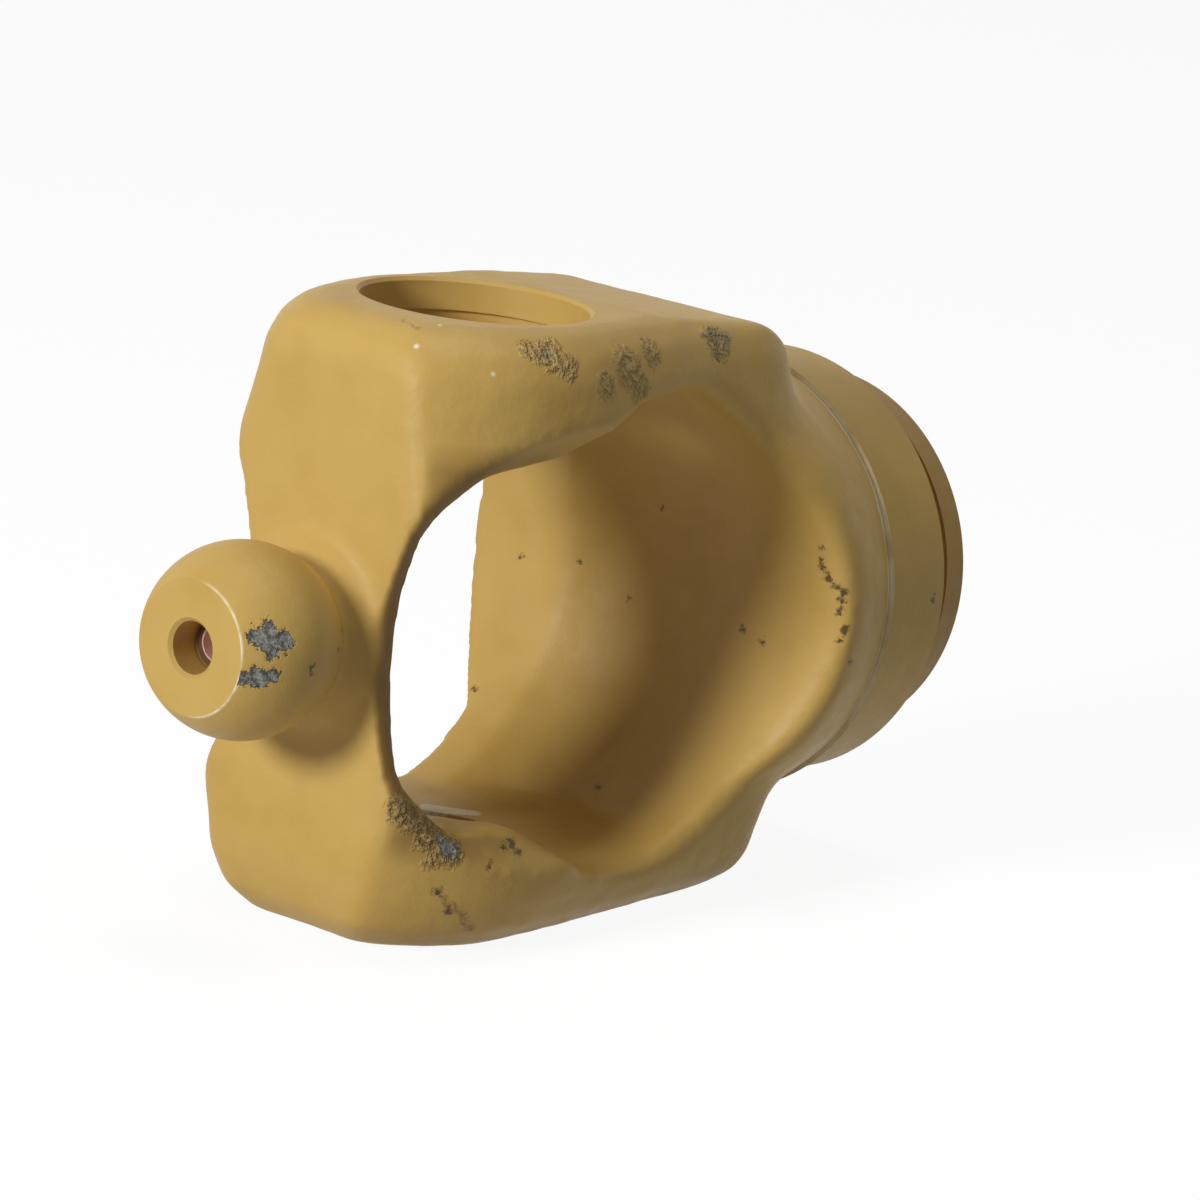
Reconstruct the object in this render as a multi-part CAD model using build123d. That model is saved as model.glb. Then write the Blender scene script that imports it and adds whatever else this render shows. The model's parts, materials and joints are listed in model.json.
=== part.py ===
from build123d import *
import os
from math import radians, sin, cos, sqrt

# Forged yoke of a wide-angle joint, in millimetres.
# The origin is the centre of the cross, X runs back along the hub,
# Z runs through the two cross bores and the ball stands at the front, at minus X.

# Cross bores
cross_bore_diameter = 32.0
ear_span = 87.4
ring_groove_inset = 4.5
ring_groove_width = 1.6
ring_groove_depth = 1.0

# Arms that carry the bores
arm_half_width_outer = 23.5
arm_half_width_inner = 30.0
nose_length_outer = 29.5
nose_length_inner = 42.0
nose_corner_radius = 5.0
front_face_x = -28.5
front_lean = 2.0
arm_rear_x = 53.2
arm_rear_radius = 15.0
upper_rear_taper = 5.0
lower_rear_taper = 3.0
arm_corner_radius = 4.0
upper_end_corner_share = 0.85
lower_end_corner_share = 0.35
upper_rim_radius = 6.5
lower_rim_radius = 9.0
rim_steps = 3
slope_start_x = 17.0
upper_slope_drop = 3.6
lower_slope_drop = 0.8

# Bridge that carries the ball
bridge_thickness = 4.0
bridge_near_half_width = 13.0
bridge_far_half_width = 11.2
waist_radius = 46.0
waist_end_x = 8.0

# Round body behind the window, and the hub
body_radius = 35.2
body_front_x = 22.0
body_cone_start_x = 49.0
shoulder_x = 61.9
shoulder_radius = 32.4
collar_radius = 31.9
collar_end_x = 76.8
collar_edge_radius = 1.2
seal_groove_radius = 25.4
lip_front_x = 84.3
lip_radius = 27.8
hub_end_x = 87.0
hub_edge_chamfer = 0.8

# Tube socket in the rear of the hub
socket_diameter = 40.0
socket_depth = 24.0

# Window between the arms
window_corner_x = -18.0
window_lip_z = 26.4
window_lip_draft = 1.6
window_lip_end_x = -4.0
window_pad_front_x = 8.0
window_pad_angle = 73.0
window_corner_radius = 6.5
window_rear_radius = 35.0
window_rear_centre_x = 13.5

# Pocket in the rear wall of the window
pocket_half_width = 16.8
pocket_depth = 4.2
pocket_half_height = 33.3

# Ball and its neck
ball_radius = 13.5
ball_centre_x = -41.1
ball_flat_depth = 3.7
neck_radius = 9.6
neck_flare = 4.2
neck_flare_sink = 0.8
ball_hole_diameter = 7.2
ball_hole_depth = 5.0
pilot_hole_diameter = 4.6
pilot_hole_depth = 9.0

overrun = 5.0
ear_half = ear_span / 2
cross_bore_radius = cross_bore_diameter / 2
bridge_back_x = front_face_x + bridge_thickness
side_reach = 2 * body_radius
ball_flat_x = ball_centre_x - ball_radius + ball_flat_depth


def box_between(x0, x1, y0, y1, z0, z1):
    centre = Pos((x0 + x1) / 2, (y0 + y1) / 2, (z0 + z1) / 2)
    return centre * Box(x1 - x0, y1 - y0, z1 - z0)


def arm_section(z, inset, rear_taper, end_corner_share):
    # Seen from above: a round nose cut flat at the front, sides that close in and round rear corners
    height_share = z / ear_half
    half_width = arm_half_width_inner - (arm_half_width_inner - arm_half_width_outer) * height_share - inset
    nose_length = nose_length_inner - (nose_length_inner - nose_length_outer) * height_share - inset
    front_x = front_face_x + front_lean * height_share + inset
    rear_x = arm_rear_x - inset
    rear_half_width = half_width - rear_taper * height_share
    end_corner_radius = end_corner_share * rear_half_width
    corner_radius = arm_corner_radius + (end_corner_radius - arm_corner_radius) * height_share**2
    nose = Ellipse(nose_length, half_width) & Pos(front_x / 2, 0) * Rectangle(-front_x, 2 * half_width)
    outline = Polyline(
        (0, -half_width),
        (rear_x, -rear_half_width),
        (rear_x, rear_half_width),
        (0, half_width),
        close=True,
    )
    plan = nose + make_face(outline)
    plan = fillet(plan.vertices().group_by(Axis.X)[-1], corner_radius)
    plan = fillet(plan.vertices().group_by(Axis.X)[0], nose_corner_radius)
    return Pos(0, 0, z) * plan


def rear_round(slope_drop):
    # What is taken off behind the bore, where the outer face falls slightly and rounds over at the rear
    top_z = ear_half + overrun
    back_x = arm_rear_x + overrun
    outline = Polyline(
        (slope_start_x - overrun, top_z),
        (slope_start_x, ear_half),
        (arm_rear_x, ear_half - slope_drop),
        (arm_rear_x, 0),
        (back_x, 0),
        (back_x, top_z),
        close=True,
    )
    profile = make_face(outline)
    corner = profile.vertices().filter_by(lambda v: 0 < v.Y < ear_half).sort_by(Axis.X)[0]
    return extrude(Plane.XZ * fillet(corner, arm_rear_radius), amount=side_reach, both=True)


def arm(rim_radius, rear_taper, end_corner_share, slope_drop):
    # Tapered sides up to the rim, then a rounded rim, rounded over at the rear
    sections = [arm_section(0, 0, rear_taper, end_corner_share)]
    for step in range(rim_steps + 1):
        angle = radians(90) * step / rim_steps
        rim_z = ear_half - rim_radius * (1 - sin(angle))
        sections.append(arm_section(rim_z, rim_radius * (1 - cos(angle)), rear_taper, end_corner_share))
    return loft(sections, ruled=True) - rear_round(slope_drop)


def waist_cut(side, half_width):
    length = waist_end_x - front_face_x + overrun
    scoop = Rot(0, 90, 0) * Cylinder(waist_radius, length)
    offset = side * (half_width + waist_radius)
    return Pos(waist_end_x - length / 2, offset, 0) * scoop


def hub():
    profile = Polyline(
        (body_front_x, 0),
        (body_front_x, body_radius),
        (body_cone_start_x, body_radius),
        (shoulder_x, shoulder_radius),
        (shoulder_x, collar_radius),
        (collar_end_x - collar_edge_radius, collar_radius),
        (collar_end_x, collar_radius - collar_edge_radius),
        (collar_end_x, seal_groove_radius),
        (lip_front_x, seal_groove_radius),
        (lip_front_x, lip_radius),
        (hub_end_x - hub_edge_chamfer, lip_radius),
        (hub_end_x, lip_radius - hub_edge_chamfer),
        (hub_end_x, 0),
        close=True,
    )
    return revolve(make_face(profile), Axis.X)


def ball():
    # Sphere with a flat at the front, a round neck and a flare onto the bridge
    base_x = front_face_x + neck_flare_sink
    root_x = front_face_x + bridge_thickness / 2
    neck_end_x = base_x - neck_flare
    neck_base = neck_radius + neck_flare
    flat_z = sqrt(ball_radius**2 - (ball_radius - ball_flat_depth) ** 2)
    join_x = ball_centre_x + sqrt(ball_radius**2 - neck_radius**2)
    neck = Line((neck_end_x, neck_radius), (join_x, neck_radius))
    sphere = ThreePointArc((join_x, neck_radius), (ball_centre_x, ball_radius), (ball_flat_x, flat_z))
    flare = Line((neck_end_x, neck_radius), (base_x, neck_base))
    back = Polyline(
        (ball_flat_x, flat_z),
        (ball_flat_x, 0),
        (root_x, 0),
        (root_x, neck_base),
        (base_x, neck_base),
    )
    return revolve(make_face(Curve() + [neck, sphere, back, flare]), Axis.X)


def window():
    # Seen from the side: square at the bridge, a lip in front of the bore, wider at the bore, round at the rear
    rear_x = window_rear_centre_x + window_rear_radius * cos(radians(window_pad_angle))
    pad_z = window_rear_radius * sin(radians(window_pad_angle))
    lip_front_z = window_lip_z - window_lip_draft
    slant_z = lip_front_z - (window_corner_x - bridge_back_x)
    upper = [
        (bridge_back_x, 0),
        (bridge_back_x, slant_z),
        (window_corner_x, lip_front_z),
        (window_lip_end_x, window_lip_z),
        (window_pad_front_x, pad_z),
        (rear_x, pad_z),
    ]
    lower = [(x, -z) for x, z in upper[:0:-1]]
    outline = Polyline(*lower, *upper)
    rear = ThreePointArc((rear_x, pad_z), (window_rear_centre_x + window_rear_radius, 0), (rear_x, -pad_z))
    face = make_face(Curve() + [outline, rear])
    corners = face.vertices().filter_by(lambda v: v.X < window_pad_front_x + overrun)
    face = fillet(corners, window_corner_radius)
    return extrude(Plane.XZ * face, amount=side_reach, both=True)


def pocket():
    # A crowned recess turned about the Y direction, deepest on the hub's axis
    crown_x = window_rear_radius + pocket_depth
    rim_points = [(window_rear_radius, pocket_half_width), (window_rear_radius, -pocket_half_width)]
    crown = ThreePointArc(rim_points[0], (crown_x, 0), rim_points[1])
    inside = Polyline(rim_points[1], (0, -pocket_half_width), (0, pocket_half_width), rim_points[0])
    disc = Pos(window_rear_centre_x, 0, 0) * revolve(make_face(Curve() + [crown, inside]), Axis.Y)
    reach_x = window_rear_centre_x + crown_x
    height = pocket_half_height
    keep = box_between(window_rear_centre_x, reach_x, -side_reach, side_reach, -height, height)
    return disc & keep


def ring_groove(side):
    groove_z = ear_half - ring_groove_inset - ring_groove_width / 2
    return Pos(0, 0, side * groove_z) * Cylinder(cross_bore_radius + ring_groove_depth, ring_groove_width)


def hole_along_hub(start_x, end_x, diameter):
    centre = Pos((start_x + end_x) / 2, 0, 0)
    return centre * (Rot(0, 90, 0) * Cylinder(diameter / 2, end_x - start_x))


upper_arm = arm(upper_rim_radius, upper_rear_taper, upper_end_corner_share, upper_slope_drop)
lower_arm = arm(lower_rim_radius, lower_rear_taper, lower_end_corner_share, lower_slope_drop)
body = upper_arm + mirror(lower_arm, about=Plane.XY)
body = body - waist_cut(1, bridge_far_half_width)
body = body - waist_cut(-1, bridge_near_half_width)
body = body + hub() + ball()
body = body - window()
body = body - pocket()
body = body - Cylinder(cross_bore_radius, ear_span + overrun)
for side in (1, -1):
    body = body - ring_groove(side)
body = body - hole_along_hub(ball_flat_x, ball_flat_x + ball_hole_depth, ball_hole_diameter)
body = body - hole_along_hub(ball_flat_x, ball_flat_x + pilot_hole_depth, pilot_hole_diameter)
body = body - hole_along_hub(hub_end_x - socket_depth, hub_end_x, socket_diameter)

os.makedirs("parts", exist_ok=True)
export_step(body, "parts/forged_yoke.step")
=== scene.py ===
import json
from math import pi, radians

import bmesh
import bpy
from mathutils import Matrix, Vector, noise


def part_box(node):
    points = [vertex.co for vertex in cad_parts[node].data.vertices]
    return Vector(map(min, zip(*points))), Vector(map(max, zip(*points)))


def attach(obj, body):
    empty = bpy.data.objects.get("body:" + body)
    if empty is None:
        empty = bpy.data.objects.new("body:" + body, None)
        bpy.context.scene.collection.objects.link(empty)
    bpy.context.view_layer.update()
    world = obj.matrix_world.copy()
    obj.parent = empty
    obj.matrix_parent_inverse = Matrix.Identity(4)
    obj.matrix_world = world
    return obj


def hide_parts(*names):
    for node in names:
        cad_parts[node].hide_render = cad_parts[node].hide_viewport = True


# One forged yoke, painted ochre and then handled: lengths are in millimetres times MM
MM = 0.001
X_AXIS = Vector((1, 0, 0))
Y_AXIS = Vector((0, 1, 0))
Z_AXIS = Vector((0, 0, 1))

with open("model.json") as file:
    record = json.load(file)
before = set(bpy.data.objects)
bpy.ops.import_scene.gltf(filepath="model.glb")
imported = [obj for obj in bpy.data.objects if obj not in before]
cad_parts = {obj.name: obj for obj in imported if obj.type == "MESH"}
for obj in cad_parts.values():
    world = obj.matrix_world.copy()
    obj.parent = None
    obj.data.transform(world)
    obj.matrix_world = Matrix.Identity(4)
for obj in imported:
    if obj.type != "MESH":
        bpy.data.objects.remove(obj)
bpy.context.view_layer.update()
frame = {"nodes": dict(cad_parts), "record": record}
record = frame["record"]
yoke_node = frame["nodes"]["forged_yoke"]
mounts = {mount["name"]: mount for mount in record["mounts"]}
bore_radius = mounts["cross_bores"]["dims"]["r_mm"] * MM
ear_half = mounts["cross_bores"]["dims"]["length_mm"] * MM / 2
socket_radius = mounts["tube_socket"]["dims"]["r_mm"] * MM
socket_depth = mounts["tube_socket"]["dims"]["length_mm"] * MM
hole_radius = mounts["ball_hole"]["dims"]["r_mm"] * MM
hole_depth = mounts["ball_hole"]["dims"]["length_mm"] * MM
ball_centre_x = mounts["ball"]["pos_m"][0]
yoke_low, yoke_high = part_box("forged_yoke")
ball_flat_x = yoke_low.x
hub_end_x = yoke_high.x

# Ball with its hole, and the bores with their ring grooves
BALL_RADIUS = 13.5 * MM
HOLE_BEVEL = 0.5 * MM
PILOT_RADIUS = 2.3 * MM
PILOT_DEPTH = 9.0 * MM
RING_GROOVE_INSET = 4.5 * MM
RING_GROOVE_WIDTH = 1.6 * MM
RING_GROOVE_DEPTH = 1.0 * MM
BORE_BEVEL = 0.5 * MM

# Turned end of the hub, from the bead where the turning starts back to the tube lip. The lip starts further
# forward than the solid's, where a closer look at the photograph puts it
SHOULDER_X = 61.9 * MM
BEAD_WIDTH = 1.0 * MM
BEAD_RADIUS = 33.3 * MM
COLLAR_RADIUS = 31.9 * MM
COLLAR_ROOT = 1.0 * MM
COLLAR_END_X = 76.8 * MM
COLLAR_EDGE = 1.2 * MM
SEAL_GROOVE_RADIUS = 25.4 * MM
TUBE_LIP_FRONT_X = 82.1 * MM
TUBE_LIP_RADIUS = 27.8 * MM
HUB_EDGE = 0.8 * MM
SOCKET_BEVEL = 1.2 * MM

# Cutting and filling
TURN_STEPS = 160
MERGE_DISTANCE = 0.001 * MM
CUT_OVERRUN = 5 * MM
PLUG_CLEARANCE = 0.05 * MM
PLUG_OVERRUN = 1.0 * MM
BORE_PLUG_DEPTH = 9.2 * MM
CREASE_ANGLE = radians(32)

# The forging's skin: smoothing steps draw its edges out round, most of all along the near flank of the
# window, and least on the bridge and on the window's far rim, which are thin
SKIN_VOXEL = 0.66 * MM
SKIN_LIFT = 0.22 * MM
SKIN_STEPS = 10
FLANK_STEPS = 70
THIN_EDGE_STEPS = 9
SMOOTHING_SHARE = 0.5
# Places of the flank, the bridge and the far rim, each the two sides of a soft edge
FLANK_X = (6 * MM, 18 * MM)
FLANK_Y = (6 * MM, 18 * MM)
FLANK_Z = (33 * MM, 38 * MM)
BRIDGE_X = (-23 * MM, -17 * MM)
FAR_RIM_Y = (14 * MM, 22 * MM)
# Points this close to the ball's sphere are set on it, up to a share of its radius behind its middle
BALL_CATCH = 1.0 * MM
BALL_BACK_SHARE = 0.66
# Swells and hammer marks on the rest
SWELL_DEPTH = 0.25 * MM
SWELL_WIDTH = 14 * MM
HAMMER_DEPTH = 0.08 * MM
HAMMER_WIDTH = 4 * MM
HAMMER_SHIFT = Vector((7, 3, 5))

# Round marks of wear, each a middle and a reach in millimetres from the centre of the cross

# Chips to bare steel on the near side of the ball
BALL_CHIPS = [
    ((-47.9, -11.1, 3.4), 1.7), ((-46.2, -12.0, 3.1), 1.4), ((-49.3, -10.0, 3.7), 1.1),
    ((-47.7, -10.3, 5.3), 0.8), ((-47.7, -11.7, 1.6), 0.9), ((-49.1, -10.8, -1.7), 1.4),
    ((-50.4, -9.5, -2.0), 1.0), ((-47.2, -12.0, -1.4), 1.0),
]
# Chips with dirt in them on the ears' edges and the front lip
EAR_CHIPS = [
    ((28.4, -20.2, 40.8), 1.4), ((26.3, -20.3, 40.8), 0.9), ((31.2, -20.4, 40.5), 1.1),
    ((27.7, -21.6, 38.8), 1.0), ((-9.8, -21.4, 41.1), 0.9), ((-18.9, -21.2, -26.2), 0.8),
]
# Bare steel and crushed paint at the lower end of the window's front lip
FRONT_LIP_STEEL = [((-18.8, -21.3, -26.4), 1.3), ((-17.7, -21.7, -27.2), 1.0), ((-19.8, -20.6, -25.1), 0.8)]
FRONT_LIP_SCUFFS = [
    ((-24.3, -18.7, -21.8), 2.3), ((-21.4, -20.0, -24.3), 2.5), ((-25.9, -18.1, -21.0), 1.9),
    ((-18.7, -21.5, -27.0), 2.2), ((-20.9, -20.2, -28.4), 1.0),
]
# Crushed paint along the upper ear's near rim
EAR_SCUFFS = [
    ((-9.6, -21.3, 41.1), 2.4), ((-11.9, -20.1, 41.7), 1.6), ((-7.4, -22.9, 39.8), 1.8),
    ((-8.6, -20.4, 42.2), 1.2), ((5.3, -23.6, 38.7), 2.9), ((-0.4, -24.7, 36.9), 1.8),
    ((11.4, -22.3, 40.4), 1.9), ((7.6, -24.2, 36.2), 2.2), ((28.4, -20.5, 40.3), 2.6),
]
# Dark pits on the ball, the lower ear, the pocket's near edge and the pocket's wall
DARK_PITS = [
    ((-41.6, -13.5, -0.5), 0.5), ((-35.1, -12.1, 0.8), 0.45), ((-41.2, -13.4, -1.4), 0.4),
    ((-8.1, -22.6, -27.7), 0.7), ((-6.3, -22.3, -27.2), 0.8), ((-5.9, -23.2, -28.4), 0.6),
    ((-12.2, -23.6, -29.4), 0.5), ((47.3, -29.6, 8.7), 0.6), ((47.5, -30.1, 7.9), 0.5),
    ((47.9, -30.8, 6.6), 0.6), ((48.2, -31.8, 5.6), 0.5), ((48.7, -33.0, 5.2), 0.8),
    ((48.7, -33.0, 3.7), 0.7), ((48.6, -32.9, 2.0), 0.6), ((49.2, -34.0, -0.3), 0.7),
    ((48.8, -33.2, -2.1), 0.6), ((51.2, -34.1, -5.4), 0.5), ((46.8, -29.5, 10.8), 0.4),
    ((48.1, 25.5, -3.2), 0.5), ((49.0, 15.1, -1.8), 0.45), ((51.3, 6.9, -5.6), 0.5),
    ((48.4, -16.4, -4.3), 0.5), ((47.8, -20.9, -5.2), 0.5), ((51.3, 2.8, 8.9), 0.4),
    ((40.0, 25.0, -22.5), 0.5), ((37.4, -2.1, -30.5), 0.5), ((-18.9, -20.5, -32.8), 0.8),
    ((-16.8, -20.8, -36.0), 0.6),
]
COLLAR_PITS = [((73.2, -31.9, 0.9), 0.5)]
PALE_DOTS = [((-24.7, -11.1, 41.2), 0.35), ((-18.3, -19.5, 38.7), 0.25), ((-19.5, -10.4, 43.6), 0.25)]

# Scratches, and a pale streak of painted light on the lower bore's wall where it meets its ear's inner face:
# start, end and reach in millimetres
EAR_SCRATCHES = [
    ((-18.8, -20.7, -32.7), (-16.4, -21.0, -36.0), 0.5), ((-16.1, -21.5, -34.9), (-11.7, -21.1, -39.3), 0.5),
    ((-22.3, -9.4, 43.2), (-21.8, -5.3, 43.4), 0.3),
]
LOWER_BORE_PAINTED_LIGHT = ((14.0, 9.8, -33.6), (17.6, 4.6, -33.6), 1.3)

# How softly each kind of mark ends, and how far the ragged outlines are pushed about, in millimetres
CHIP_EDGE = 0.35
DIRT_EDGE = 0.3
SCUFF_EDGE = 0.6
SCRATCH_EDGE = 0.3
PIT_EDGE = 0.25
SPECK_EDGE = 0.2
RAG_REACH = (3.2, 3.2, 3.2)

# Bands of paint, wear, painted shade and painted highlights along X, Y or Z or away from the hub's axis:
# start, end and soft edge in millimetres
FRONT_LIP_X = (-29.5, -7.0, 2.0)
FRONT_LIP_Z = (-27.5, 27.5, 2.0)
FLAT_RIM_X = (-51.5, -50.0, 0.2)
FLAT_RIM_Y = (-12.0, -2.5, 2.0)
FLAT_RIM_RADII = (9.125, 9.425, 0.075)
BEAD_X = (60.4, 61.95, 0.15)
TUBE_LIP_X = (81.5, 90.0, 0.3)
TUBE_LIP_RADII = (26.75, 30.0, 0.25)
HOLE_X = (-46.3, -30.0, 0.2)
HOLE_STEP_RADII = (-3.6, 3.6, 0.2)
PILOT_RADII = (-2.5, 2.5, 0.1)
# The same for the Y part of a face's direction: only faces turned to the near side get the front lip's
# painted shade
FRONT_LIP_FACING = (-1.5, -0.7, 0.2)

# Grains, each as wide in millimetres as the number under the 1
BROAD_MOTTLE = {"Scale": 1 / 11}
FINE_MOTTLE = {"Scale": 1 / 2.2, "Detail": 3.0}
FLAT_RIM_PATCHES = {"Scale": 1 / 2.5}
BEAD_PATCHES = {"Scale": 1 / 6}
CRUMBS = {"Scale": 1 / 0.9, "Roughness": 0.6}
STEEL_FLECKS = {"Scale": 1 / 0.7, "Detail": 3.0, "Roughness": 0.7}
RAGS = {"Scale": 1 / 1.3, "Detail": 3.0, "Roughness": 0.7}
MIDDLE_OF_A_GRAIN = (0.5, 0.5, 0.5)

# Relief under the paint, each a grain and its height in millimetres. On the forging: 6 mm dips, 1.6 mm scale
# and the paint's peel, drawn 0.6 mm wide, twice the real one, so that it shows
FORGED_RELIEF = [
    ({"Scale": 1 / 6}, 0.16),
    ({"Scale": 1 / 1.6, "Detail": 3.0}, 0.08),
    ({"Scale": 1 / 0.6, "Detail": 0.0}, 0.02),
]
# Tool lines are 0.2 mm apart on the real part, and are drawn 0.7 mm apart so that they show. The paint on
# them has 5 mm waves
TOOL_LINES = [({"Scale": 1 / 0.7}, 0.03)]
PAINT_WAVES = [({"Scale": 1 / 5}, 0.08)]
SCUFF_HEIGHT = 0.8
CHIP_DEPTH = 0.2

# What a grain's or a mark's value becomes: where it starts, where it is full, and the share at either end
MOTTLE = {"From Min": 0.3, "From Max": 0.7}
FLAT_RIM_HIGHLIGHT_SHARE = {"From Min": 0.25, "From Max": 0.55}
BEAD_RUB_AND_HIGHLIGHT_SHARE = {"From Min": 0.3, "From Max": 0.55, "To Min": 0.4, "To Max": 0.95}
SCUFF_START = {"From Min": 0.3, "From Max": 0.5}
CHIP_START = {"From Min": 0.3, "From Max": 0.4}
SCRATCH_SHARE = 0.7
FINE_MOTTLE_SHARE = 0.35

# Finishes
THICK_ENAMEL_ROUGHNESS = 0.46
THIN_ENAMEL_ROUGHNESS = 0.56
ENAMEL_SHINE = 0.32
SCUFF_ROUGHNESS = 0.75
STEEL_ROUGHNESS = 0.5
STEEL_METALLIC = 0.5

# Floor, light and camera, in metres: each lamp is a name, a place, a size and a power in watts
FLOOR_REACH = 6.0
FLOOR_GLOW = 1.16
FLOOR_GLOW_SHARE = 0.8
SOFT_LIGHT = 0.068
LAMPS = [("key", (-1.2, 0.07, 0.4), 0.3, 11.5), ("overhead", (0.05, -0.05, 1.3), 0.5, 4.8)]
# Camera: placed by the ellipses of the bore, the ball and the hub in the photograph
CAMERA_PLACE = Vector((-0.58031, -0.47795, 0.17530))
CAMERA_RIGHT = Vector((0.6295, -0.7686, 0.1144))
CAMERA_BACK = Vector((-0.7702, -0.5977, 0.2225))
CAMERA_SENSOR = 36
CAMERA_LENS = 166.37
CAMERA_NEAREST = 0.01


def linear(hex_colour):
    parts = [int(hex_colour[i : i + 2], 16) / 255 for i in (1, 3, 5)]
    return [c / 12.92 if c <= 0.04045 else ((c + 0.055) / 1.055) ** 2.4 for c in parts] + [1.0]


# Enamel where it is sound, what shows where it is thin or marked, and painted shade, painted highlights and
# painted light
ENAMEL_THIN = linear("#C7A153")
ENAMEL_THICK = linear("#D0AC60")
ENAMEL_MIDDLE = linear("#CDA95B")
# Painted shade on the faces of the window's front lip that turn to the near side
FRONT_LIP_PAINTED_SHADE = linear("#8A6932")
TUBE_LIP_BROWN = linear("#B8924E")
# Painted highlight along the near side of the ball flat's edge
FLAT_RIM_PAINTED_HIGHLIGHT = linear("#F2E4BE")
# Pale rub on the bead, which is also a painted highlight along it
BEAD_RUB_AND_HIGHLIGHT = linear("#F0DFB8")
# Pale dots, and painted light on the lower bore's wall
PALE_SPECK_AND_PAINTED_LIGHT = linear("#F4EAD0")
SCRATCH_BROWN = linear("#8A6434")
PIT_BROWN = linear("#5C4622")
# Painted shade on the step deep in the ball's hole
HOLE_STEP_PAINTED_SHADE = linear("#5E4028")
PILOT_RUST = linear("#DDB6AC")
WHITE = linear("#FFFFFF")
FLOOR_GREY = linear("#C8C8C8")

# Wear in two colours: the value where the second starts, the value where it is full, and the two colours
CRUSHED_PAINT = (0.42, 0.62, linear("#9A7840"), linear("#D4B878"))
BROWNED_PAINT = (0.4, 0.64, linear("#6E5630"), linear("#BFA468"))
DIRTY_STEEL = (0.4, 0.6, linear("#7E6C44"), linear("#A89A70"))
BARE_STEEL = (0.42, 0.66, linear("#504F4C"), linear("#9D9C92"))
CHIP_RIM = (0.35, 0.9, linear("#3A3426"))


def piece_from(bm, name, material=None):
    mesh = bpy.data.meshes.new(name)
    bm.to_mesh(mesh)
    bm.free()
    if material:
        mesh.materials.append(material)
    piece = bpy.data.objects.new(name, mesh)
    bpy.context.scene.collection.objects.link(piece)
    return piece


def turned(name, outline, axis, material):
    # A closed solid turned about X or Z, from (place on the axis, radius) pairs
    bm = bmesh.new()
    verts = [bm.verts.new(axis * place + Y_AXIS * radius) for place, radius in outline]
    edges = [bm.edges.new(pair) for pair in zip(verts, verts[1:])]
    bmesh.ops.spin(
        bm, geom=verts + edges, cent=(0, 0, 0), axis=axis, angle=2 * pi, steps=TURN_STEPS, use_merge=True
    )
    bmesh.ops.remove_doubles(bm, verts=bm.verts, dist=MERGE_DISTANCE)
    bmesh.ops.recalc_face_normals(bm, faces=bm.faces)
    return piece_from(bm, name, material)


def settle(piece, kind, **settings):
    # Adds one modifier and makes its result the piece's own mesh
    modifier = piece.modifiers.new(kind.title(), kind)
    for name, value in settings.items():
        setattr(modifier, name, value)
    graph = bpy.context.evaluated_depsgraph_get()
    mesh = bpy.data.meshes.new_from_object(piece.evaluated_get(graph))
    piece.modifiers.clear()
    piece.data = mesh


def combine(piece, tool, operation):
    settle(piece, "BOOLEAN", operation=operation, object=tool, solver="EXACT", material_mode="TRANSFER")
    bpy.data.objects.remove(tool)


def plug(bm, axis, start, end, radius):
    # A closed cylinder along one axis, which fills a bore or hole
    turn = Z_AXIS.rotation_difference(axis).to_matrix().to_4x4()
    place = Matrix.Translation(axis * (start + end) / 2) @ turn
    length = abs(end - start)
    bmesh.ops.create_cone(
        bm, cap_ends=True, segments=TURN_STEPS, radius1=radius, radius2=radius, depth=length, matrix=place
    )


def forging_blank():
    # The forging before machining: bores, ring grooves, ball flat and its hole are filled again
    bm = bmesh.new()
    bm.from_mesh(yoke_node.data)
    bmesh.ops.remove_doubles(bm, verts=bm.verts, dist=MERGE_DISTANCE)
    bore_plug_radius = bore_radius + RING_GROOVE_DEPTH + PLUG_CLEARANCE
    for side in (1, -1):
        plug(bm, Z_AXIS, side * ear_half, side * (ear_half - BORE_PLUG_DEPTH), bore_plug_radius)
    hole_plug_end = ball_flat_x + PILOT_DEPTH + PLUG_OVERRUN
    plug(bm, X_AXIS, ball_flat_x + PLUG_CLEARANCE, hole_plug_end, hole_radius + PLUG_CLEARANCE)
    ball_place = Matrix.Translation((ball_centre_x, 0, 0))
    bmesh.ops.create_uvsphere(
        bm, u_segments=TURN_STEPS, v_segments=TURN_STEPS // 2, radius=BALL_RADIUS, matrix=ball_place
    )
    blank = piece_from(bm, "yoke_forging")
    settle(blank, "REMESH", mode="VOXEL", voxel_size=SKIN_VOXEL)
    return blank


def ramp(value, limits):
    # 0 at the first limit, 1 at the second, and smooth between them
    start, end = limits
    share = min(max((value - start) / (end - start), 0), 1)
    return share * share * (3 - 2 * share)


def smoothing_steps(place):
    flank = ramp(place.x, FLANK_X) * ramp(-place.y, FLANK_Y) * (1 - ramp(abs(place.z), FLANK_Z))
    bridge = 1 - ramp(place.x, BRIDGE_X)
    far_rim = ramp(place.x, FLANK_X) * ramp(place.y, FAR_RIM_Y) * (1 - ramp(abs(place.z), FLANK_Z))
    return SKIN_STEPS + FLANK_STEPS * flank - (SKIN_STEPS - THIN_EDGE_STEPS) * max(bridge, far_rim)


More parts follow.
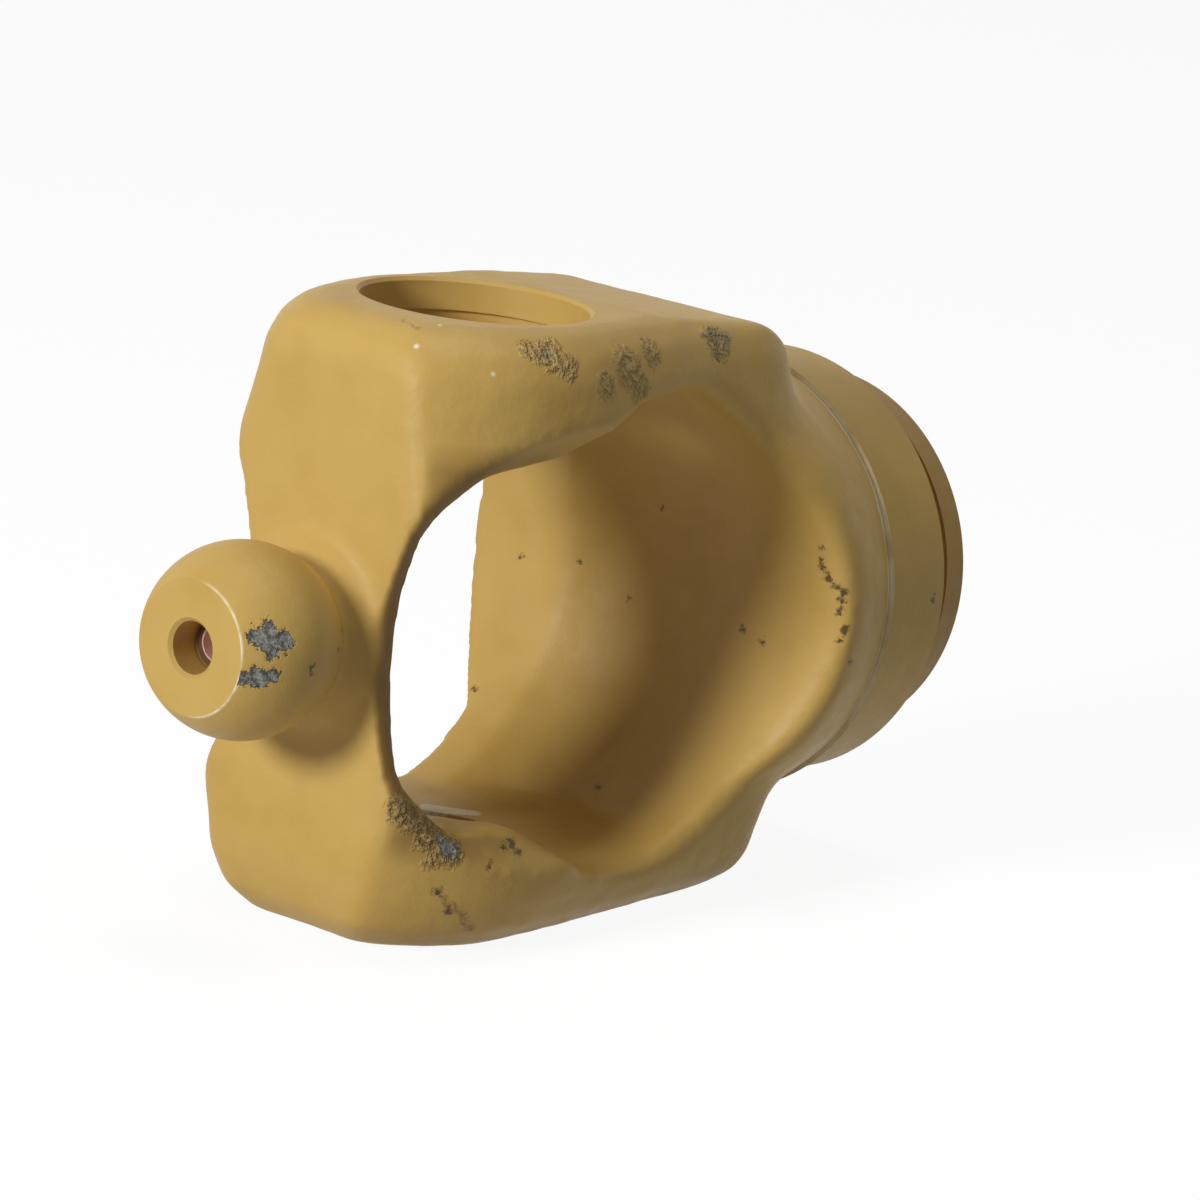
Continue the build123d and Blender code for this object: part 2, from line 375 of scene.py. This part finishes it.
def shape_skin(blank):
    # Edges are drawn out round, the ball is a true sphere, and the rest swells and dips as forged steel does
    bm = bmesh.new()
    bm.from_mesh(blank.data)
    steps = [smoothing_steps(vert.co) for vert in bm.verts]
    for step in range(SKIN_STEPS + FLANK_STEPS):
        soft = [vert for vert, most in zip(bm.verts, steps) if most > step]
        bmesh.ops.smooth_vert(
            bm, verts=soft, factor=SMOOTHING_SHARE, use_axis_x=True, use_axis_y=True, use_axis_z=True
        )
    bm.normal_update()
    ball_centre = Vector((ball_centre_x, 0, 0))
    ball_back_x = ball_centre_x + BALL_RADIUS * BALL_BACK_SHARE
    for vert in bm.verts:
        out = vert.co - ball_centre
        if abs(out.length - BALL_RADIUS) < BALL_CATCH and vert.co.x < ball_back_x:
            vert.co = ball_centre + out.normalized() * BALL_RADIUS
            continue
        swell = noise.noise(vert.co / SWELL_WIDTH)
        hammer = noise.noise(vert.co / HAMMER_WIDTH + HAMMER_SHIFT)
        vert.co += vert.normal * (SKIN_LIFT + swell * SWELL_DEPTH + hammer * HAMMER_DEPTH)
        vert.co.y = min(max(vert.co.y, yoke_low.y), yoke_high.y)
        vert.co.z = min(max(vert.co.z, -ear_half), ear_half)

    # The rear is cut off square where the bead starts, and closed
    everything = bm.verts[:] + bm.edges[:] + bm.faces[:]
    bead_start = (SHOULDER_X - BEAD_WIDTH, 0, 0)
    ends = bmesh.ops.bisect_plane(
        bm, geom=everything, dist=0, plane_co=bead_start, plane_no=X_AXIS, clear_outer=True
    )
    rim = [item for item in ends["geom_cut"] if isinstance(item, bmesh.types.BMEdge)]
    bmesh.ops.contextual_create(bm, geom=rim)
    bm.to_mesh(blank.data)
    bm.free()


def hub_end(material):
    # Bead, collar, seal groove, tube lip and socket, with a root that reaches into the forging
    root_x = SHOULDER_X - CUT_OVERRUN
    bead_start_x = SHOULDER_X - BEAD_WIDTH
    socket_end_x = hub_end_x - socket_depth
    outline = [
        (root_x, 0),
        (root_x, SEAL_GROOVE_RADIUS),
        (bead_start_x - COLLAR_ROOT, COLLAR_RADIUS),
        (bead_start_x, COLLAR_RADIUS),
        (SHOULDER_X - BEAD_WIDTH / 2, BEAD_RADIUS),
        (SHOULDER_X, COLLAR_RADIUS),
        (COLLAR_END_X - COLLAR_EDGE, COLLAR_RADIUS),
        (COLLAR_END_X, COLLAR_RADIUS - COLLAR_EDGE),
        (COLLAR_END_X, SEAL_GROOVE_RADIUS),
        (TUBE_LIP_FRONT_X, SEAL_GROOVE_RADIUS),
        (TUBE_LIP_FRONT_X, TUBE_LIP_RADIUS),
        (hub_end_x - HUB_EDGE, TUBE_LIP_RADIUS),
        (hub_end_x, TUBE_LIP_RADIUS - HUB_EDGE),
        (hub_end_x, socket_radius + SOCKET_BEVEL),
        (hub_end_x - SOCKET_BEVEL, socket_radius),
        (socket_end_x, socket_radius),
        (socket_end_x, 0),
    ]
    return turned("hub_end", outline, X_AXIS, material)


def bore_tool(material):
    # Cuts both bores with their ring grooves and bevelled mouths
    groove_out = ear_half - RING_GROOVE_INSET
    groove_in = groove_out - RING_GROOVE_WIDTH
    groove_radius = bore_radius + RING_GROOVE_DEPTH
    half = [
        (groove_in, bore_radius),
        (groove_in, groove_radius),
        (groove_out, groove_radius),
        (groove_out, bore_radius),
        (ear_half - BORE_BEVEL, bore_radius),
        (ear_half + CUT_OVERRUN, bore_radius + BORE_BEVEL + CUT_OVERRUN),
        (ear_half + CUT_OVERRUN, 0),
    ]
    outline = [(-place, radius) for place, radius in reversed(half)] + half
    return turned("bore_tool", outline, Z_AXIS, material)


def ball_tool(material):
    # Faces the ball's flat and drills its centre hole and the pilot hole behind it
    hole_end = ball_flat_x + hole_depth
    pilot_end = ball_flat_x + PILOT_DEPTH
    outline = [
        (ball_flat_x - CUT_OVERRUN, 0),
        (ball_flat_x - CUT_OVERRUN, 2 * BALL_RADIUS),
        (ball_flat_x, 2 * BALL_RADIUS),
        (ball_flat_x, hole_radius + HOLE_BEVEL),
        (ball_flat_x + HOLE_BEVEL, hole_radius),
        (hole_end, hole_radius),
        (hole_end, PILOT_RADIUS),
        (pilot_end, PILOT_RADIUS),
        (pilot_end + PILOT_RADIUS / 2, 0),
    ]
    return turned("ball_tool", outline, X_AXIS, material)


def forged_yoke(forged_paint, turned_paint, bored_paint):
    # The forging, machined: each cut face takes the paint of the tool that cut it
    yoke = forging_blank()
    yoke.data.materials.append(forged_paint)
    shape_skin(yoke)
    combine(yoke, bore_tool(bored_paint), "DIFFERENCE")
    combine(yoke, ball_tool(turned_paint), "DIFFERENCE")
    combine(yoke, hub_end(turned_paint), "UNION")
    for face in yoke.data.polygons:
        face.use_smooth = True
    yoke.data.set_sharp_from_angle(angle=CREASE_ANGLE)
    return yoke


def new_material(name):
    material = bpy.data.materials.new(name)
    material.use_nodes = True
    material.node_tree.nodes.clear()
    return material, material.node_tree


def add(tree, kind, inputs=None, **settings):
    # One node with its settings and links: a node given as an input is linked from its first output in use
    node = tree.nodes.new("ShaderNode" + kind)
    for name, value in settings.items():
        setattr(node, name, value)
    for socket, value in (inputs or {}).items():
        if isinstance(value, bpy.types.Node):
            value = next(output for output in value.outputs if output.enabled)
        if isinstance(value, bpy.types.NodeSocket):
            tree.links.new(value, node.inputs[socket])
        else:
            node.inputs[socket].default_value = value
    return node


def millimetres(tree):
    # Places on the part in millimetres, and the same places pushed about so that marks get ragged outlines
    coordinates = add(tree, "TexCoord").outputs["Object"]
    place = add(tree, "VectorMath", {0: coordinates, "Scale": 1 / MM}, operation="SCALE")
    push = add(tree, "TexNoise", {"Vector": place, **RAGS}).outputs["Color"]
    centred = add(tree, "VectorMath", {0: push, 1: MIDDLE_OF_A_GRAIN}, operation="SUBTRACT")
    ragged = add(tree, "VectorMath", {0: centred, 1: RAG_REACH, 2: place}, operation="MULTIPLY_ADD")
    return place, ragged


def away_from_hub_axis(tree, place):
    across = add(tree, "VectorMath", {0: place, 1: Y_AXIS + Z_AXIS}, operation="MULTIPLY")
    return add(tree, "VectorMath", {0: across}, operation="LENGTH")


def inside_band(tree, value, start, end, edge, within=1.0):
    # A mask, kept between the start and the end of a band and 0 outside them, over soft edges
    above = {"Value": value, "From Min": start - edge, "From Max": start + edge, "To Max": within}
    below = {"Value": value, "From Min": end + edge, "From Max": end - edge}
    return add(tree, "MapRange", {**below, "To Max": add(tree, "MapRange", above)})


def inside_marks(tree, place, marks, edge):
    # 1 inside any of some round marks, 0 outside them, over a soft edge
    deepest = None
    for middle, reach in marks:
        away = add(tree, "VectorMath", {0: place, 1: middle}, operation="DISTANCE")
        depth = add(tree, "Math", {0: reach, 1: away}, operation="SUBTRACT")
        if deepest is not None:
            depth = add(tree, "Math", {0: deepest, 1: depth}, operation="MAXIMUM")
        deepest = depth
    return add(tree, "MapRange", {"Value": deepest, "From Min": -edge, "From Max": edge})


def row_of_marks(start, end, reach):
    # A rub, a scratch or a streak of painted light as a row of round marks
    count = int((Vector(end) - Vector(start)).length / reach) + 1
    return [(tuple(Vector(start).lerp(Vector(end), step / count)), reach) for step in range(count + 1)]


def two_coloured(tree, value, start, full, first, second):
    # The first colour up to where a value starts to change it, and the second where the change is full
    share = add(tree, "MapRange", {"Value": value, "From Min": start, "From Max": full})
    return add(tree, "Mix", {0: share, 6: first, 7: second}, data_type="RGBA")


def coated(tree, colour, layers):
    # A colour with layers laid over it in turn, each a mask and the layer's own colour
    for mask, over in layers:
        colour = add(tree, "Mix", {0: mask, 6: colour, 7: over}, data_type="RGBA")
    return colour


def relief(tree, place, grains, height=0.0):
    # A height in millimetres with some grains raised on it
    for grain, most in grains:
        share = add(tree, "TexNoise", {"Vector": place, **grain})
        height = add(tree, "Math", {0: share, 1: most, 2: height}, operation="MULTIPLY_ADD")
    return height


def enamel(tree, place):
    # Colour and roughness of the sprayed enamel: thicker and thinner places, 2 to 11 mm across
    broad_grain = add(tree, "TexNoise", {"Vector": place, **BROAD_MOTTLE})
    fine_grain = add(tree, "TexNoise", {"Vector": place, **FINE_MOTTLE})
    broad = add(tree, "MapRange", {"Value": broad_grain, **MOTTLE})
    fine = add(tree, "MapRange", {"Value": fine_grain, **MOTTLE})
    mottle = add(tree, "Mix", {0: FINE_MOTTLE_SHARE, 2: broad, 3: fine})
    colour = coated(tree, ENAMEL_THIN, [(broad, ENAMEL_THICK), (mottle, ENAMEL_MIDDLE)])
    return colour, add(tree, "Mix", {0: fine, 2: THICK_ENAMEL_ROUGHNESS, 3: THIN_ENAMEL_ROUGHNESS})


def flat_rim_painted_highlight(tree, place):
    # Painted highlight along the edge of the ball's flat on the near side: pale, in patches
    places = add(tree, "SeparateXYZ", {0: place}).outputs
    patches = add(tree, "TexNoise", {"Vector": place, **FLAT_RIM_PATCHES})
    highlighted = add(tree, "MapRange", {"Value": patches, **FLAT_RIM_HIGHLIGHT_SHARE})
    highlighted = inside_band(tree, away_from_hub_axis(tree, place), *FLAT_RIM_RADII, within=highlighted)
    highlighted = inside_band(tree, places["X"], *FLAT_RIM_X, within=highlighted)
    return inside_band(tree, places["Y"], *FLAT_RIM_Y, within=highlighted)


def bead_rub_and_painted_highlight(tree, place):
    # Bead where the turning starts: paint rubbed thin and pale, in patches, and painted pale as the highlight
    # along the bead
    along_hub = add(tree, "SeparateXYZ", {0: place}).outputs["X"]
    patches = add(tree, "TexNoise", {"Vector": place, **BEAD_PATCHES})
    rubbed = add(tree, "MapRange", {"Value": patches, **BEAD_RUB_AND_HIGHLIGHT_SHARE})
    return inside_band(tree, along_hub, *BEAD_X, within=rubbed)


def front_lip_painted_shade(tree, place):
    # Painted shade on the front lip of the window, on the near side alone: the faces of the trimmed edge of
    # the bridge that turn away from the light are painted darker
    places = add(tree, "SeparateXYZ", {0: place}).outputs
    facing = add(tree, "SeparateXYZ", {0: add(tree, "TexCoord").outputs["Normal"]}).outputs
    lip = inside_band(tree, facing["Y"], *FRONT_LIP_FACING)
    lip = inside_band(tree, places["X"], *FRONT_LIP_X, within=lip)
    return inside_band(tree, places["Z"], *FRONT_LIP_Z, within=lip)


def painted_forging():
    # Ochre polyester enamel sprayed over the scaly skin of a hot forging: satin, a little lumpy and chipped
    # down to steel
    material, tree = new_material("ochre_enamel_on_forging")
    place, ragged = millimetres(tree)
    sound, roughness = enamel(tree, place)
    height = relief(tree, place, FORGED_RELIEF)

    # Scuffs: paint crushed rough, in lighter and darker crumbs about a millimetre across, browner at the lip
    crumbs = add(tree, "TexNoise", {"Vector": place, **CRUMBS})
    on_ears = inside_marks(tree, ragged, EAR_SCUFFS, SCUFF_EDGE)
    on_lip = inside_marks(tree, ragged, FRONT_LIP_SCUFFS, SCUFF_EDGE)
    on_either = add(tree, "Math", {0: on_ears, 1: on_lip}, operation="MAXIMUM")
    scuffed = add(tree, "MapRange", {"Value": crumbs, **SCUFF_START, "To Max": on_either})
    crushed = two_coloured(tree, crumbs, *CRUSHED_PAINT)
    browned = two_coloured(tree, crumbs, *BROWNED_PAINT)
    crumbled = coated(tree, crushed, [(on_lip, browned)])
    torn = add(tree, "Math", {0: scuffed, 1: crumbs}, operation="MULTIPLY")
    height = add(tree, "Math", {0: torn, 1: SCUFF_HEIGHT, 2: height}, operation="MULTIPLY_ADD")
    roughness = add(tree, "Mix", {0: scuffed, 2: roughness, 3: SCUFF_ROUGHNESS})

    # Scratches on the ears, dark pits, pale dots and the pale painted light on the lower bore's wall
    scratch_marks = [mark for scratch in EAR_SCRATCHES for mark in row_of_marks(*scratch)]
    scratched = inside_marks(tree, ragged, scratch_marks, SCRATCH_EDGE)
    scratched = add(tree, "Math", {0: scratched, 1: SCRATCH_SHARE}, operation="MULTIPLY")
    pitted = inside_marks(tree, ragged, DARK_PITS, PIT_EDGE)
    pale_specks_and_painted_light = inside_marks(tree, place, PALE_DOTS + row_of_marks(*LOWER_BORE_PAINTED_LIGHT), SPECK_EDGE)

    # Chips down to steel: grey with lighter flecks on the ball and the lip, grey-brown where dirt fills them
    flecks = add(tree, "TexNoise", {"Vector": place, **STEEL_FLECKS})
    dirty = inside_marks(tree, ragged, EAR_CHIPS, DIRT_EDGE)
    chipped = inside_marks(tree, ragged, BALL_CHIPS + FRONT_LIP_STEEL, CHIP_EDGE)
    bare = add(tree, "MapRange", {"Value": chipped, **CHIP_START})
    steel = two_coloured(tree, chipped, *CHIP_RIM, two_coloured(tree, flecks, *BARE_STEEL))
    height = add(tree, "Math", {0: chipped, 1: -CHIP_DEPTH, 2: height}, operation="MULTIPLY_ADD")
    roughness = add(tree, "Mix", {0: bare, 2: roughness, 3: STEEL_ROUGHNESS})
    metallic = add(tree, "Math", {0: bare, 1: STEEL_METALLIC}, operation="MULTIPLY")

    # Over the enamel and its wear lie painted shade on the front lip, painted highlights on the flat's rim
    # and the bead, and pale painted light at the lower bore
    colour = coated(tree, sound, [
        (front_lip_painted_shade(tree, place), FRONT_LIP_PAINTED_SHADE),
        (flat_rim_painted_highlight(tree, place), FLAT_RIM_PAINTED_HIGHLIGHT),
        (bead_rub_and_painted_highlight(tree, place), BEAD_RUB_AND_HIGHLIGHT),
        (scuffed, crumbled),
        (scratched, SCRATCH_BROWN),
        (pitted, PIT_BROWN),
        (pale_specks_and_painted_light, PALE_SPECK_AND_PAINTED_LIGHT),
        (dirty, two_coloured(tree, flecks, *DIRTY_STEEL)),
        (bare, steel),
    ])
    bump = add(tree, "Bump", {"Height": height, "Distance": MM})
    shader = add(tree, "BsdfPrincipled", {
        "Base Color": colour,
        "Roughness": roughness,
        "Metallic": metallic,
        "Specular IOR Level": ENAMEL_SHINE,
        "Normal": bump,
    })
    add(tree, "OutputMaterial", {"Surface": shader})
    return material


def painted_turning(name, axis):
    # The same enamel over steel turned about one axis: smoother, with the tool's lines showing through
    material, tree = new_material(name)
    place, ragged = millimetres(tree)
    sound, roughness = enamel(tree, place)
    lengthwise = add(tree, "VectorMath", {0: place, 1: axis}, operation="DOT_PRODUCT")
    across = add(tree, "VectorMath", {0: place, 1: axis}, operation="CROSS_PRODUCT")
    outwards = add(tree, "VectorMath", {0: across}, operation="LENGTH")
    turns = add(tree, "CombineXYZ", {"X": lengthwise, "Y": outwards})
    height = relief(tree, turns, TOOL_LINES)
    height = relief(tree, place, PAINT_WAVES, height)

    # The tube lip is browner, in the ball's hole the step gets painted shade, and the pilot is rust pink
    along_hub = add(tree, "SeparateXYZ", {0: place}).outputs["X"]
    from_hub_axis = away_from_hub_axis(tree, place)
    far_out = inside_band(tree, from_hub_axis, *TUBE_LIP_RADII)
    on_tube_lip = inside_band(tree, along_hub, *TUBE_LIP_X, within=far_out)
    in_hole = inside_band(tree, along_hub, *HOLE_X)
    shaded_step = inside_band(tree, from_hub_axis, *HOLE_STEP_RADII, within=in_hole)
    in_pilot = inside_band(tree, from_hub_axis, *PILOT_RADII, within=in_hole)

    # Over the enamel lie the bead's pale rub and painted highlight, painted shade on the hole's step, the
    # flat rim's painted highlight and pale painted light at the lower bore
    colour = coated(tree, sound, [
        (bead_rub_and_painted_highlight(tree, place), BEAD_RUB_AND_HIGHLIGHT),
        (on_tube_lip, TUBE_LIP_BROWN),
        (shaded_step, HOLE_STEP_PAINTED_SHADE),
        (in_pilot, PILOT_RUST),
        (flat_rim_painted_highlight(tree, place), FLAT_RIM_PAINTED_HIGHLIGHT),
        (inside_marks(tree, place, row_of_marks(*LOWER_BORE_PAINTED_LIGHT), SPECK_EDGE), PALE_SPECK_AND_PAINTED_LIGHT),
        (inside_marks(tree, ragged, COLLAR_PITS, SPECK_EDGE), PIT_BROWN),
    ])
    bump = add(tree, "Bump", {"Height": height, "Distance": MM})
    shader = add(tree, "BsdfPrincipled", {
        "Base Color": colour,
        "Roughness": roughness,
        "Specular IOR Level": ENAMEL_SHINE,
        "Normal": bump,
    })
    add(tree, "OutputMaterial", {"Surface": shader})
    return material


def seen_directly(tree):
    # 1 for rays from the camera and rays that a glossy face mirrors
    rays = add(tree, "LightPath").outputs
    return add(tree, "Math", {0: rays["Is Camera Ray"], 1: rays["Is Glossy Ray"]}, operation="MAXIMUM")


def white_floor():
    # Matt grey to the light, and mostly white glow to the camera, so that only the part's shadow shows on it
    material, tree = new_material("white_floor")
    matt = add(tree, "BsdfDiffuse", {"Color": FLOOR_GREY})
    glow = add(tree, "Emission", {"Color": WHITE, "Strength": FLOOR_GLOW})
    share = add(tree, "Math", {0: seen_directly(tree), 1: FLOOR_GLOW_SHARE}, operation="MULTIPLY")
    both = add(tree, "MixShader", {0: share, 1: matt, 2: glow})
    add(tree, "OutputMaterial", {"Surface": both})
    return material


def studio_world():
    # Soft and pale light from all round, and plain white to the camera
    world = bpy.data.worlds.new("studio")
    world.use_nodes = True
    tree = world.node_tree
    tree.nodes.clear()
    soft = add(tree, "Background", {"Color": WHITE, "Strength": SOFT_LIGHT})
    white = add(tree, "Background", {"Color": WHITE})
    through = add(tree, "LightPath").outputs["Is Transmission Ray"]
    share = add(tree, "Math", {0: seen_directly(tree), 1: through}, operation="MAXIMUM")
    both = add(tree, "MixShader", {0: share, 1: soft, 2: white})
    add(tree, "OutputWorld", {"Surface": both})
    return world


def lamp(name, place, size, power):
    # A round lamp aimed at the centre of the cross: place and size in metres, power in watts
    data = bpy.data.lights.new(name, "AREA")
    data.shape = "DISK"
    data.size = size
    data.energy = power
    item = bpy.data.objects.new(name, data)
    item.location = place
    item.rotation_euler = (-Vector(place)).to_track_quat("-Z", "Y").to_euler()
    bpy.context.scene.collection.objects.link(item)


forged_paint = painted_forging()
turned_paint = painted_turning("ochre_enamel_on_turned_steel", X_AXIS)
bored_paint = painted_turning("ochre_enamel_on_bored_steel", Z_AXIS)
yoke = forged_yoke(forged_paint, turned_paint, bored_paint)
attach(yoke, "root")
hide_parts("forged_yoke")

# Camera, turned by its own right and back directions
camera_data = bpy.data.cameras.new("camera")
camera_data.sensor_width = CAMERA_SENSOR
camera_data.lens = CAMERA_LENS
camera_data.clip_start = CAMERA_NEAREST
camera = bpy.data.objects.new("camera", camera_data)
right = CAMERA_RIGHT.normalized()
back = CAMERA_BACK.normalized()
up = back.cross(right).normalized()
camera_turn = Matrix((right, up, back)).transposed().to_4x4()
camera.matrix_world = Matrix.Translation(CAMERA_PLACE) @ camera_turn
bpy.context.scene.collection.objects.link(camera)
bpy.context.scene.camera = camera

# Floor, under the lower ear
floor_bm = bmesh.new()
floor_place = Matrix.Translation((0, 0, yoke_low.z))
bmesh.ops.create_grid(floor_bm, x_segments=1, y_segments=1, size=FLOOR_REACH, matrix=floor_place)
floor = piece_from(floor_bm, "floor", white_floor())

bpy.context.scene.world = studio_world()
for values in LAMPS:
    lamp(*values)

bpy.context.scene.view_settings.view_transform = "Standard"
